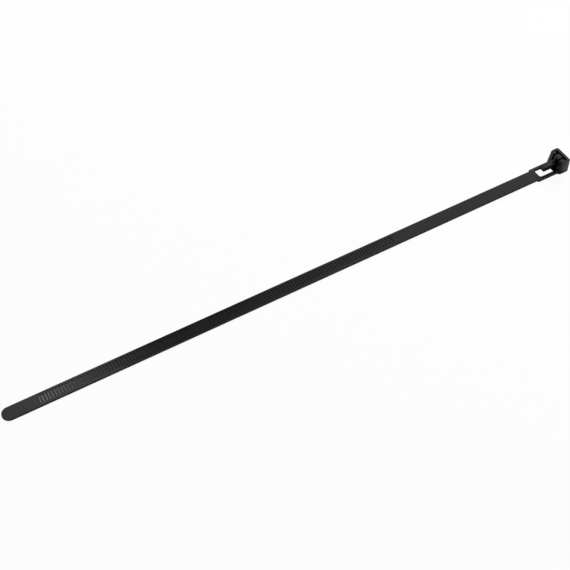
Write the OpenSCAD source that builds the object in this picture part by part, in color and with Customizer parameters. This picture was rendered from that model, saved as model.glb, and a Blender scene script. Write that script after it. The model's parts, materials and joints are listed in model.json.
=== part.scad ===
// Releasable cable tie, moulded in one piece: a toothed strap with a round tail,
// a windowed neck, and a head whose sprung pawl carries a release trigger.
// Lengths are in millimetres. +X runs along the strap towards the head, +Z is up,
// and the origin lies midway along the tie, on the surface that it rests on.

/* [Overall] */
// Length from the tip of the tail to the rear face of the head
tie_length = 350; // [200:5:500]
// Bevel along the outer top edges
edge_bevel = 0.25; // [0.1:0.05:0.3]

/* [Strap] */
// Width of the strap
strap_w = 8.1; // [6.5:0.1:9]
// Thickness of the strap over its side rails
strap_t = 1.4; // [1.1:0.1:1.8]
// Length of the smooth tail before the first tooth
tail_length = 19.6; // [10:0.2:40]
// Length of the smooth stretch between the last tooth and the neck
plain_length = 97.5; // [20:0.5:110]
// Width of the smooth rail on each side of the teeth
rail_w = 1.55; // [0.8:0.05:2.2]

/* [Teeth] */
// Distance from one tooth to the next
tooth_pitch = 1.73; // [1.4:0.01:2.2]
// Depth of the grooves between teeth, below the rails
tooth_depth = 0.45; // [0.3:0.05:0.6]
// Distance of the tooth tops below the rails
tooth_sink = 0.08; // [0.02:0.02:0.16]

/* [Neck] */
// Width of the neck
neck_w = 9.9; // [9.1:0.1:10.5]
// Thickness of the neck
neck_t = 1.5; // [1.2:0.1:2]
// Length of the neck in front of the head
neck_length = 13.9; // [13:0.1:20]
// Width of the bar on each side of the window
window_bar = 1.95; // [1.2:0.05:2.2]
// Width of the bar between the strap and the window
window_front_bar = 2.7; // [1.5:0.1:3.5]
// Width of the sill between the window and the head
window_sill = 0.9; // [0.4:0.1:1.5]
// Radius of the window's corners towards the strap
window_front_r = 1.2; // [0.5:0.1:2]
// Radius of the window's corners towards the head
window_rear_r = 1.4; // [0.5:0.1:2.4]

/* [Head] */
// Width of the head
head_w = 12.2; // [11.4:0.1:13.2]
// Height of the head
head_h = 8.5; // [8:0.1:9.5]
// Length of the head where it stands on the neck
head_foot = 7.4; // [6.8:0.1:9]
// Lean of the head's front face, in degrees from upright
head_lean = 12; // [0:1:14]
// Radius of the head's rear corners
head_rear_r = 1.4; // [0.6:0.1:2]
// Radius of the head's front corners
head_front_r = 1.9; // [0.8:0.1:2.2]
// Thickness of the wall behind the slot
rear_wall = 1.85; // [1.4:0.05:2.2]
// Corner cut where the side walls narrow from the slot to the pawl's well
well_corner = 0.6; // [0.3:0.1:0.8]
// Play between the strap and the slot, across its thickness
slot_play = 0.15; // [0.1:0.05:0.4]
// Play between the strap and each end of the slot
slot_end_play = 0.45; // [0.2:0.05:0.6]
// Bevel that leads the strap into the slot
slot_bevel = 0.25; // [0.1:0.05:0.4]

/* [Pawl and trigger] */
// Width of the pawl and its trigger
pawl_w = 3.4; // [2.8:0.1:4]
// Length of the pawl's top
pawl_length = 3.1; // [2.6:0.1:3.6]
// Number of teeth on the pawl
pawl_teeth = 3; // [1:1:3]
// Gap between the pawl and each side wall
pawl_gap = 1.05; // [0.5:0.05:1.1]
// Bevel on the pawl's top front edge
pawl_bevel = 0.4; // [0.2:0.05:0.6]
// Thickness of the flexible foot that carries the pawl
hinge_t = 1.1; // [0.8:0.05:1.4]
// Fillet at the foot's two ends, on the neck and under the trigger
foot_fillet = 0.35; // [0.2:0.05:0.4]
// Reach of the trigger in front of the pawl
trigger_reach = 10.1; // [7:0.1:10.8]
// Thickness of the trigger
trigger_t = 3; // [2.3:0.1:3.3]
// Height of the pawl's top above the trigger's
trigger_drop = 2.75; // [2:0.05:3]
// Radius of the trigger's front corners, seen from above
trigger_r = 0.4; // [0.3:0.05:0.7]
// Radius of the trigger's upper and lower front edges
nose_r = 1; // [0.6:0.05:1.1]
// Width of the rib between the pawl and its trigger
rib_w = 0.8; // [0.6:0.1:1.2]
// Length of the rib
rib_length = 3.7; // [2:0.1:5]

/* [Hidden] */
$fn = 64;

// How far a cut runs past the face that it opens
past = 1;
// How far two forms of one moulding reach into each other
bond = 0.2;

// Places in the head and neck are measured forwards from the head's rear face
head_top_front = head_foot - (head_h - neck_t) * tan(head_lean);
neck_front = head_foot + neck_length;
window_rear = head_foot + window_sill;
window_front = neck_front - window_front_bar;
window_w = neck_w - 2 * window_bar;
slot_w = strap_w + 2 * slot_end_play;
slot_front = rear_wall + strap_t + slot_play;
well_w = pawl_w + 2 * pawl_gap;
corner_cut = min(well_corner, (slot_w - well_w) / 3);
// The pawl's teeth reach the bottom of the strap's grooves
pawl_rear = rear_wall + strap_t - tooth_depth;
pawl_front = pawl_rear + pawl_length;
trigger_front = pawl_front + trigger_reach;
trigger_top = head_h - trigger_drop;
trigger_bottom = trigger_top - trigger_t;

// Places on the strap are measured from the tip of the tail
strap_length = tie_length - neck_front;
tooth_count = floor((strap_length - tail_length - plain_length) / tooth_pitch);
groove_z = strap_t - tooth_depth;
tooth_top_z = strap_t - tooth_sink;
// Shares of the pitch taken by a tooth's slope, its flat top and its catching face
slope_share = 0.4;
top_share = 0.35;
catch_share = 0.1;

// Rectangle from rear to front, with its own corner radius at each end
module rounded_plan(rear, front, w, rear_r, front_r) {
    translate([rear + rear_r, -w / 2]) square([front - front_r - rear - rear_r, w]);
    translate([rear, rear_r - w / 2]) square([rear_r, w - 2 * rear_r]);
    translate([front - front_r, front_r - w / 2]) square([front_r, w - 2 * front_r]);
    for (side = [-1, 1]) {
        translate([rear + rear_r, side * (w / 2 - rear_r)]) circle(rear_r);
        translate([front - front_r, side * (w / 2 - front_r)]) circle(front_r);
    }
}

// Side view outline, given as [forward, up] points, pulled across the width w
module across(w) {
    rotate([90, 0, 0]) linear_extrude(w, center = true) children();
}

// Outline given as [sideways, up] points, pulled forwards from start to end
module along(start, end) {
    translate([start, 0, 0]) rotate([90, 0, 90]) linear_extrude(end - start) children();
}

// Top layer of a rounded plate, whose edges all slope inwards by its own height
module beveled_rim(rear, front, w, rear_r, front_r, bevel) {
    across(w - 2 * rear_r)
        polygon([[rear, 0], [rear + bevel, bevel], [rear + rear_r, bevel], [rear + rear_r, 0]]);
    across(w - 2 * front_r)
        polygon([[front - front_r, 0], [front - front_r, bevel], [front - bevel, bevel], [front, 0]]);
    along(rear + rear_r, front - front_r)
        polygon([[-w / 2, 0], [bevel - w / 2, bevel], [w / 2 - bevel, bevel], [w / 2, 0]]);
    for (side = [-1, 1]) {
        translate([rear + rear_r, side * (w / 2 - rear_r), 0])
            cylinder(h = bevel, r1 = rear_r, r2 = rear_r - bevel);
        translate([front - front_r, side * (w / 2 - front_r), 0])
            cylinder(h = bevel, r1 = front_r, r2 = front_r - bevel);
    }
}

// Half of the strap's section, from its centre line to its bevelled edge
module strap_half_section() {
    polygon([
        [0, 0],
        [strap_w / 2 - edge_bevel / 2, 0],
        [strap_w / 2, edge_bevel / 2],
        [strap_w / 2, strap_t - edge_bevel],
        [strap_w / 2 - edge_bevel, strap_t],
        [0, strap_t]
    ]);
}

// Everything above the teeth, between the two rails
module tooth_channel() {
    last = tail_length + tooth_count * tooth_pitch;
    across(strap_w - 2 * rail_w)
        polygon(concat(
            [[tail_length, strap_t + past], [tail_length, strap_t]],
            [for (i = [0 : tooth_count - 1])
                let (start = tail_length + (i + 1 - slope_share - top_share - catch_share) * tooth_pitch)
                each [
                    [start, groove_z],
                    [start + slope_share * tooth_pitch, tooth_top_z],
                    [start + (slope_share + top_share) * tooth_pitch, tooth_top_z],
                    [start + (slope_share + top_share + catch_share) * tooth_pitch, groove_z]
                ]],
            [[last + slope_share * tooth_pitch, strap_t], [last + slope_share * tooth_pitch, strap_t + past]]
        ));
}

// Strap, with its tip at x = 0
module strap() {
    tip_r = strap_w / 2;
    difference() {
        union() {
            translate([tip_r, 0, 0]) rotate_extrude() strap_half_section();
            along(tip_r, strap_length + bond) {
                strap_half_section();
                mirror([1, 0]) strap_half_section();
            }
        }
        tooth_channel();
    }
}

// Flat neck between strap and head, with the window that the trigger dips into
module neck() {
    rear = head_foot - 2 * bond;
    corner = min(head_front_r, neck_w / 2 - slot_w / 2 + bond);
    difference() {
        union() {
            linear_extrude(neck_t - edge_bevel)
                rounded_plan(rear, neck_front, neck_w, corner, window_bar / 2);
            translate([0, 0, neck_t - edge_bevel])
                beveled_rim(rear, neck_front, neck_w, corner, window_bar / 2, edge_bevel);
        }
        translate([0, 0, -past])
            linear_extrude(neck_t + 2 * past)
                rounded_plan(window_rear, window_front, window_w, window_rear_r, window_front_r);
    }
}

// Outer block of the head, with a leaning front, rounded corners and a beveled top
module head_block() {
    // The bevel's slopes start this far outside the block, and cut in on their way up
    skirt = bond;
    rim_z = head_h - edge_bevel - skirt;
    intersection() {
        linear_extrude(head_h)
            rounded_plan(0, 2 * head_foot, head_w, head_rear_r, head_front_r);
        translate([head_foot, 0, neck_t])
            rotate([0, -head_lean, 0])
                translate([0, 0, -head_h])
                    linear_extrude(3 * head_h)
                        rounded_plan(-3 * head_foot, 0, head_w, head_rear_r, head_front_r);
        union() {
            translate([-head_foot, -head_w, -past])
                cube([3 * head_foot, 2 * head_w, rim_z + past]);
            translate([0, 0, rim_z])
                beveled_rim(-skirt, head_top_front + skirt, head_w + 2 * skirt,
                    head_rear_r + skirt, head_front_r + 2 * skirt, edge_bevel + skirt);
        }
    }
}

// Slot that the strap passes through, with a beveled mouth above and below
module slot() {
    translate([rear_wall, -slot_w / 2, -past])
        cube([slot_front - rear_wall, slot_w, head_h + 2 * past]);
    slot_mouth();
    translate([0, 0, head_h]) mirror([0, 0, 1]) slot_mouth();
}

// Mouth of the slot on the head's underside
module slot_mouth() {
    intersection() {
        across(head_w)
            polygon([
                [rear_wall - slot_bevel - past, -past],
                [rear_wall, slot_bevel],
                [slot_front, slot_bevel],
                [slot_front, -past]
            ]);
        along(0, head_foot)
            polygon([
                [-slot_w / 2 - slot_bevel - past, -past],
                [-slot_w / 2, slot_bevel],
                [slot_w / 2, slot_bevel],
                [slot_w / 2 + slot_bevel + past, -past]
            ]);
    }
}

// Well in front of the slot, open at the top and the front, where the pawl stands
module pawl_well() {
    wide = well_w / 2 + corner_cut;
    translate([0, 0, neck_t])
        linear_extrude(head_h)
            polygon([
                [slot_front - bond, -wide],
                [slot_front, -wide],
                [slot_front + corner_cut, -well_w / 2],
                [2 * head_foot, -well_w / 2],
                [2 * head_foot, well_w / 2],
                [slot_front + corner_cut, well_w / 2],
                [slot_front, wide],
                [slot_front - bond, wide]
            ]);
}

// Side view of the pawl: toothed rear face, flexible foot and bevelled top
module pawl_outline() {
    flat = top_share * tooth_pitch;
    catch = catch_share * tooth_pitch;
    lead = edge_bevel / 2;
    root = pawl_rear + tooth_depth - tooth_sink;
    foot_front = pawl_front - bond;
    foot_rear = foot_front - hinge_t;
    fillet = min(foot_fillet, (trigger_bottom - neck_t) / 3);
    polygon(concat(
        [
            [foot_front + fillet, neck_t - bond],
            [foot_rear - fillet, neck_t - bond],
            [foot_rear - fillet, neck_t],
            [foot_rear, neck_t + fillet],
            [foot_rear, trigger_bottom - fillet]
        ],
        [for (k = [pawl_teeth - 1 : -1 : 0])
            let (z = head_h - lead - flat - k * tooth_pitch)
            each [[root, z - catch], [pawl_rear, z], [pawl_rear, z + flat]]],
        [
            [pawl_rear + lead, head_h],
            [pawl_front - pawl_bevel, head_h],
            [pawl_front, head_h - pawl_bevel],
            [pawl_front, trigger_top],
            [trigger_front - nose_r, trigger_top],
            [trigger_front, trigger_top - nose_r],
            [trigger_front, trigger_bottom + nose_r],
            [trigger_front - nose_r, trigger_bottom],
            [pawl_front + fillet, trigger_bottom],
            [foot_front, trigger_bottom - fillet - bond],
            [foot_front, neck_t + fillet],
            [foot_front + fillet, neck_t]
        ]
    ));
    // Rounded nose of the trigger
    for (z = [trigger_bottom + nose_r, trigger_top - nose_r])
        translate([trigger_front - nose_r, z]) circle(nose_r);
}

// Pawl on its flexible foot, with the trigger that reaches over the window
module pawl_and_trigger() {
    intersection() {
        across(pawl_w) pawl_outline();
        linear_extrude(head_h)
            rounded_plan(-trigger_r, trigger_front, pawl_w, trigger_r, trigger_r);
    }
    across(rib_w)
        polygon([
            [pawl_front - bond, trigger_top - bond],
            [pawl_front - bond, head_h - pawl_bevel],
            [pawl_front, head_h - pawl_bevel],
            [pawl_front + rib_length, trigger_top],
            [pawl_front + rib_length, trigger_top - bond]
        ]);
}

// Neck and head together, measured forwards from the head's rear face
module neck_and_head() {
    neck();
    difference() {
        head_block();
        slot();
        pawl_well();
    }
    pawl_and_trigger();
}

module cable_tie() {
    color("#1b1b1d") {
        translate([-tie_length / 2, 0, 0]) strap();
        translate([tie_length / 2, 0, 0]) mirror([1, 0, 0]) neck_and_head();
    }
}

cable_tie();
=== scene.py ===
import json
import math

import bmesh
import bpy
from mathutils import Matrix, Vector

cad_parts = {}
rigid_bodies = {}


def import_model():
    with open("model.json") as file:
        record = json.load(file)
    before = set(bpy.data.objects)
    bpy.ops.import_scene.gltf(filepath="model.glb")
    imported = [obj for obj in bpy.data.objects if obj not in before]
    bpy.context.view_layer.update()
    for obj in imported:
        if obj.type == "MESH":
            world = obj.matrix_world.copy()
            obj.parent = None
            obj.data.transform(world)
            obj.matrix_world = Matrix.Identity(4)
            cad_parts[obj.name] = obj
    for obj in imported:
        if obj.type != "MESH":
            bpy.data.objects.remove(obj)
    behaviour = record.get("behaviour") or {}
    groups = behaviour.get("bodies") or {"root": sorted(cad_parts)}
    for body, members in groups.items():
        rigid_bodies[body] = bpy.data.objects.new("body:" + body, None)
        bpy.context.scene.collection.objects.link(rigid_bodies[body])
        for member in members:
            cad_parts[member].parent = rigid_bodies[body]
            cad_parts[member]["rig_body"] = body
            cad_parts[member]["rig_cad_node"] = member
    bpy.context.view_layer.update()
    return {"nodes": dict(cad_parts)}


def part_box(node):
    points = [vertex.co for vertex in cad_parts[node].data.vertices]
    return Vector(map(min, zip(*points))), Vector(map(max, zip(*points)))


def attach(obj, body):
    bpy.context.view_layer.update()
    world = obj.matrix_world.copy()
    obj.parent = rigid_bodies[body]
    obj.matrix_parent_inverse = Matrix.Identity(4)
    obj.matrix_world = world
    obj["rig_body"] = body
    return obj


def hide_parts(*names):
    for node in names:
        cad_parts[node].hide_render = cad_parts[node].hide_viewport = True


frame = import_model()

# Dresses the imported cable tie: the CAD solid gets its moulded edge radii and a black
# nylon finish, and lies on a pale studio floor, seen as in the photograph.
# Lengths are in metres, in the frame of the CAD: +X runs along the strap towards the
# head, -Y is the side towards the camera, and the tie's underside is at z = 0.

MM = 0.001
TIE_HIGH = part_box("cable_tie")[1]

# Camera, fitted to the edges of the tie in the photograph; angles in degrees
CAMERA_AZIMUTH = -30.4
CAMERA_ELEVATION = 50.4
CAMERA_DISTANCE = 672.6 * MM
CAMERA_TARGET = Vector((-11.19, 2.76, 0.0)) * MM
CAMERA_LENS = 78.97

# Where the neck starts, by the length of the head and the neck together
HEAD_AND_NECK = 21.3 * MM
NECK_X = TIE_HIGH[0] - HEAD_AND_NECK

# Edge radii left by the mould, on the edges that turn by more than the sharp angle
HEAD_EDGE = 0.12 * MM
STRAP_EDGE = 0.05 * MM
SHARP_ANGLE = math.radians(20)

# What counts as one point and as one flat face when the CAD's triangles are merged
WELD_GAP = 0.001 * MM
FLAT_ANGLE = math.radians(0.5)

# Black nylon: linear colours of its darker and paler streaks; streaks and clouds each
# add a roughness between the least and the most
NYLON_DARK = (0.0105, 0.0122, 0.0113, 1)
NYLON_PALE = (0.0145, 0.0165, 0.0155, 1)
NYLON_IOR = 1.44
ROUGHNESS_LEAST = 0.065
ROUGHNESS_MOST = 0.09

# Scales of the nylon's patterns, and the two values that most of a noise lies between
STREAK_SCALE = (25, 700, 700)
CLOUD_SCALE = 140.0
GRAIN_SCALE = 5200.0
GRAIN_STRENGTH = 0.05
GRAIN_DEPTH = 0.01 * MM
NOISE_LOW = 0.3
NOISE_HIGH = 0.7

# Floor: a hair under the tie, so that two faces never coincide; to the camera, the
# white share of it glows evenly, and the rest takes light and shadow
FLOOR_SIZE = 12
FLOOR_GAP = 0.01 * MM
FLOOR_COLOUR = (0.9, 0.9, 0.9, 1)
FLOOR_WHITE = 1.02
FLOOR_WHITE_SHARE = 0.92

# Surroundings: their light on the tie, and how bright they are where they are seen
WHITE = (1, 1, 1, 1)
WORLD_LIGHT = 0.2
WORLD_SEEN = 0.85

# Height of the panels that show in the gloss
PANEL_Z = 518 * MM


def direction(azimuth, elevation):
    """Unit vector from the tie towards a place at that azimuth and elevation, in degrees."""
    turn = math.radians(azimuth)
    lift = math.radians(elevation)
    flat = math.cos(lift)
    return Vector((math.sin(turn) * flat, -math.cos(turn) * flat, math.sin(lift)))


def add_camera():
    """Camera at the photograph's viewing angle."""
    back = direction(CAMERA_AZIMUTH, CAMERA_ELEVATION)
    bpy.ops.object.camera_add(location=CAMERA_TARGET + back * CAMERA_DISTANCE)
    camera = bpy.context.active_object
    camera.rotation_mode = "QUATERNION"
    camera.rotation_quaternion = (-back).to_track_quat("-Z", "Y")
    camera.data.sensor_width = 36
    camera.data.lens = CAMERA_LENS
    camera.data.clip_start = 0.01
    camera.data.clip_end = 20
    bpy.context.scene.camera = camera
    bpy.context.scene.view_settings.view_transform = "Standard"


def new_material(name):
    """Empty node material, with its node tree and its output node."""
    material = bpy.data.materials.new(name)
    material.use_nodes = True
    material.node_tree.nodes.clear()
    output = material.node_tree.nodes.new("ShaderNodeOutputMaterial")
    return material, material.node_tree, output


def noise(tree, vector, scale, detail):
    """Noise texture that reads the given vector socket."""
    texture = tree.nodes.new("ShaderNodeTexNoise")
    texture.inputs["Scale"].default_value = scale
    texture.inputs["Detail"].default_value = detail
    tree.links.new(vector, texture.inputs["Vector"])
    return texture.outputs["Fac"]


def stretched(tree, vector, scale):
    """The vector scaled by another amount along each axis."""
    mapping = tree.nodes.new("ShaderNodeMapping")
    mapping.inputs["Scale"].default_value = scale
    tree.links.new(vector, mapping.inputs["Vector"])
    return mapping.outputs["Vector"]


def remapped(tree, value, start, end, low=0, high=1):
    """The value, taken from the range low to high to the range start to end."""
    node = tree.nodes.new("ShaderNodeMapRange")
    node.inputs["From Min"].default_value = low
    node.inputs["From Max"].default_value = high
    node.inputs["To Min"].default_value = start
    node.inputs["To Max"].default_value = end
    tree.links.new(value, node.inputs["Value"])
    return node.outputs["Result"]


def spread(tree, texture, start, end):
    """The noise, spread over the range start to end."""
    return remapped(tree, texture, start, end, NOISE_LOW, NOISE_HIGH)


def black_nylon():
    """Satin black moulded nylon, with flow streaks along the strap and a fine grain."""
    material, tree, output = new_material("black_nylon")
    place = tree.nodes.new("ShaderNodeTexCoord").outputs["Object"]
    shader = tree.nodes.new("ShaderNodeBsdfPrincipled")
    shader.inputs["IOR"].default_value = NYLON_IOR

    # Melt flow: long faint streaks that change the colour and the gloss
    flow = noise(tree, stretched(tree, place, STREAK_SCALE), scale=1.0, detail=4.0)
    tint = tree.nodes.new("ShaderNodeMix")
    tint.data_type = "RGBA"
    tint.inputs["A"].default_value = NYLON_DARK
    tint.inputs["B"].default_value = NYLON_PALE
    tree.links.new(spread(tree, flow, 0.0, 1.0), tint.inputs["Factor"])
    tree.links.new(tint.outputs["Result"], shader.inputs["Base Color"])

    # Gloss: the streaks and wider clouds, added together
    cloud = noise(tree, place, CLOUD_SCALE, detail=3.0)
    gloss = tree.nodes.new("ShaderNodeMath")
    gloss.operation = "ADD"
    for pattern, socket in zip((flow, cloud), gloss.inputs):
        tree.links.new(spread(tree, pattern, ROUGHNESS_LEAST, ROUGHNESS_MOST), socket)
    tree.links.new(gloss.outputs["Value"], shader.inputs["Roughness"])

    # Fine grain of the mould's surface
    grain = noise(tree, place, GRAIN_SCALE, detail=2.0)
    bump = tree.nodes.new("ShaderNodeBump")
    bump.inputs["Strength"].default_value = GRAIN_STRENGTH
    bump.inputs["Distance"].default_value = GRAIN_DEPTH
    tree.links.new(grain, bump.inputs["Height"])
    tree.links.new(bump.outputs["Normal"], shader.inputs["Normal"])
    tree.links.new(shader.outputs["BSDF"], output.inputs["Surface"])
    return material


def copy_of_node(name, copy_name):
    """Copy of a CAD node as a plain piece, selected and active."""
    bpy.ops.object.select_all(action="DESELECT")
    node = frame["nodes"][name]
    node.select_set(True)
    bpy.context.view_layer.objects.active = node
    bpy.ops.object.duplicate()
    piece = bpy.context.active_object
    piece.name = copy_name
    piece.data.name = copy_name
    piece.parent = None

    # The marks of a CAD node stay with the node
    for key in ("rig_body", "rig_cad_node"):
        if key in piece:
            del piece[key]
    return piece


def merge_faces():
    """Turns the active piece's loose triangles into one closed skin with whole flat faces."""
    bpy.ops.object.mode_set(mode="EDIT")
    bpy.ops.mesh.select_all(action="SELECT")
    bpy.ops.mesh.remove_doubles(threshold=WELD_GAP)
    bpy.ops.mesh.customdata_custom_splitnormals_clear()
    bpy.ops.mesh.dissolve_limited(angle_limit=FLAT_ANGLE)
    bpy.ops.object.mode_set(mode="OBJECT")


def weigh_edges(piece):
    """Gives each outer edge its bevel weight: full on head and neck, less on the strap.

    Inner edges stay crisp, and so do those of the underside, where the mould parts.
    """
    shape = bmesh.new()
    shape.from_mesh(piece.data)
    weight = shape.edges.layers.float.new("bevel_weight_edge")
    for edge in shape.edges:
        if len(edge.link_faces) != 2 or edge.calc_face_angle(0) < SHARP_ANGLE:
            continue
        top = max(corner.co.z for corner in edge.verts)
        if not edge.is_convex or top < WELD_GAP:
            edge.smooth = False
            continue
        middle = (edge.verts[0].co + edge.verts[1].co) / 2
        edge[weight] = 1.0 if middle.x > NECK_X else STRAP_EDGE / HEAD_EDGE
    shape.to_mesh(piece.data)
    shape.free()


def round_edges(piece):
    """Rounds the active piece's weighted edges and keeps its flat faces flat in shading."""
    bpy.ops.object.shade_smooth()
    rounding = piece.modifiers.new("edge_radii", "BEVEL")
    rounding.limit_method = "WEIGHT"
    rounding.width = HEAD_EDGE
    rounding.segments = 2
    rounding.use_clamp_overlap = False
    rounding.miter_outer = "MITER_ARC"
    rounding.harden_normals = True
    bpy.ops.object.modifier_apply(modifier=rounding.name)


def add_tie():
    """The CAD solid as one finished moulding."""
    tie = copy_of_node("cable_tie", "moulded_tie")
    merge_faces()
    weigh_edges(tie)
    round_edges(tie)
    tie.data.materials.clear()
    tie.data.materials.append(black_nylon())
    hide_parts("cable_tie")
    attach(tie, "root")


def add_floor():
    """Pale floor that stays white to the camera and keeps a soft shadow."""
    bpy.ops.mesh.primitive_plane_add(size=FLOOR_SIZE, location=(0, 0, -FLOOR_GAP))
    floor = bpy.context.active_object
    floor.name = "studio_floor"
    material, tree, output = new_material("pale_floor")
    matte = tree.nodes.new("ShaderNodeBsdfDiffuse")
    matte.inputs["Color"].default_value = FLOOR_COLOUR
    white = tree.nodes.new("ShaderNodeEmission")
    white.inputs["Color"].default_value = WHITE
    white.inputs["Strength"].default_value = FLOOR_WHITE
    path = tree.nodes.new("ShaderNodeLightPath")
    mix = tree.nodes.new("ShaderNodeMixShader")
    share = remapped(tree, path.outputs["Is Camera Ray"], 0, FLOOR_WHITE_SHARE)
    tree.links.new(share, mix.inputs["Fac"])
    tree.links.new(matte.outputs["BSDF"], mix.inputs[1])
    tree.links.new(white.outputs["Emission"], mix.inputs[2])
    tree.links.new(mix.outputs["Shader"], output.inputs["Surface"])
    floor.data.materials.append(material)


def seen_directly(tree):
    """1 for rays from the camera, and for those that it sees in gloss or through glass."""
    path = tree.nodes.new("ShaderNodeLightPath")
    total = path.outputs["Is Camera Ray"]
    for name in ("Is Glossy Ray", "Is Transmission Ray"):
        larger = tree.nodes.new("ShaderNodeMath")
        larger.operation = "MAXIMUM"
        tree.links.new(total, larger.inputs[0])
        tree.links.new(path.outputs[name], larger.inputs[1])
        total = larger.outputs["Value"]
    return total


def add_world():
    """White surroundings, at a plain level for the light that they give."""
    world = bpy.data.worlds.new("studio")
    bpy.context.scene.world = world
    world.use_nodes = True
    tree = world.node_tree
    background = tree.nodes["Background"]
    background.inputs["Color"].default_value = WHITE
    strength = remapped(tree, seen_directly(tree), WORLD_LIGHT, WORLD_SEEN)
    tree.links.new(strength, background.inputs["Strength"])


def add_soft_box(name, place, aim, size, power):
    """Square soft light that isn't seen itself, also not in the gloss."""
    bpy.ops.object.light_add(type="AREA", location=place)
    light = bpy.context.active_object
    light.name = name
    light.rotation_mode = "QUATERNION"
    light.rotation_quaternion = (aim - place).to_track_quat("-Z", "Y")
    light.data.shape = "SQUARE"
    light.data.size = size
    light.data.energy = power
    light.visible_camera = False
    light.visible_glossy = False


def add_panel(name, middle, size, brightness):
    """Level panel that shows only in the gloss; brightness 1 is a white wall."""
    bpy.ops.mesh.primitive_plane_add(size=1, location=(*middle, PANEL_Z))
    panel = bpy.context.active_object
    panel.name = name
    panel.scale = (*size, 1)
    material, tree, output = new_material(name)
    glow = tree.nodes.new("ShaderNodeEmission")
    glow.inputs["Color"].default_value = WHITE
    glow.inputs["Strength"].default_value = brightness
    tree.links.new(glow.outputs["Emission"], output.inputs["Surface"])
    panel.data.materials.append(material)
    panel.visible_camera = False
    panel.visible_diffuse = False
    panel.visible_shadow = False


def add_lights():
    """Soft key light from behind the head, and the panels that the tie's faces mirror.

    The level faces mirror those at x above -0.1 m, and the slopes of the teeth the rest.
    """
    add_soft_box(
        "key_light",
        place=Vector((1.35, 0.72, 0.85)),
        aim=Vector((0.1, 0, 0)),
        size=0.5,
        power=26.0,
    )
    add_panel("light_over_tail", middle=(-0.045, 0.37), size=(0.09, 0.4), brightness=1.3)
    add_panel("dark_over_strap", middle=(0.09, 0.37), size=(0.14, 0.4), brightness=0.1)
    add_panel("grey_over_strap", middle=(0.205, 0.37), size=(0.09, 0.4), brightness=0.4)
    add_panel("dark_over_teeth", middle=(-0.46, 0.45), size=(0.47, 0.4), brightness=0.28)
    add_panel("pale_over_strap", middle=(0.4, 0.37), size=(0.26, 0.4), brightness=0.66)
    add_panel("bright_over_tail", middle=(-0.735, 0.58), size=(0.08, 0.4), brightness=5.6)


add_camera()
add_floor()
add_world()
add_lights()
add_tie()
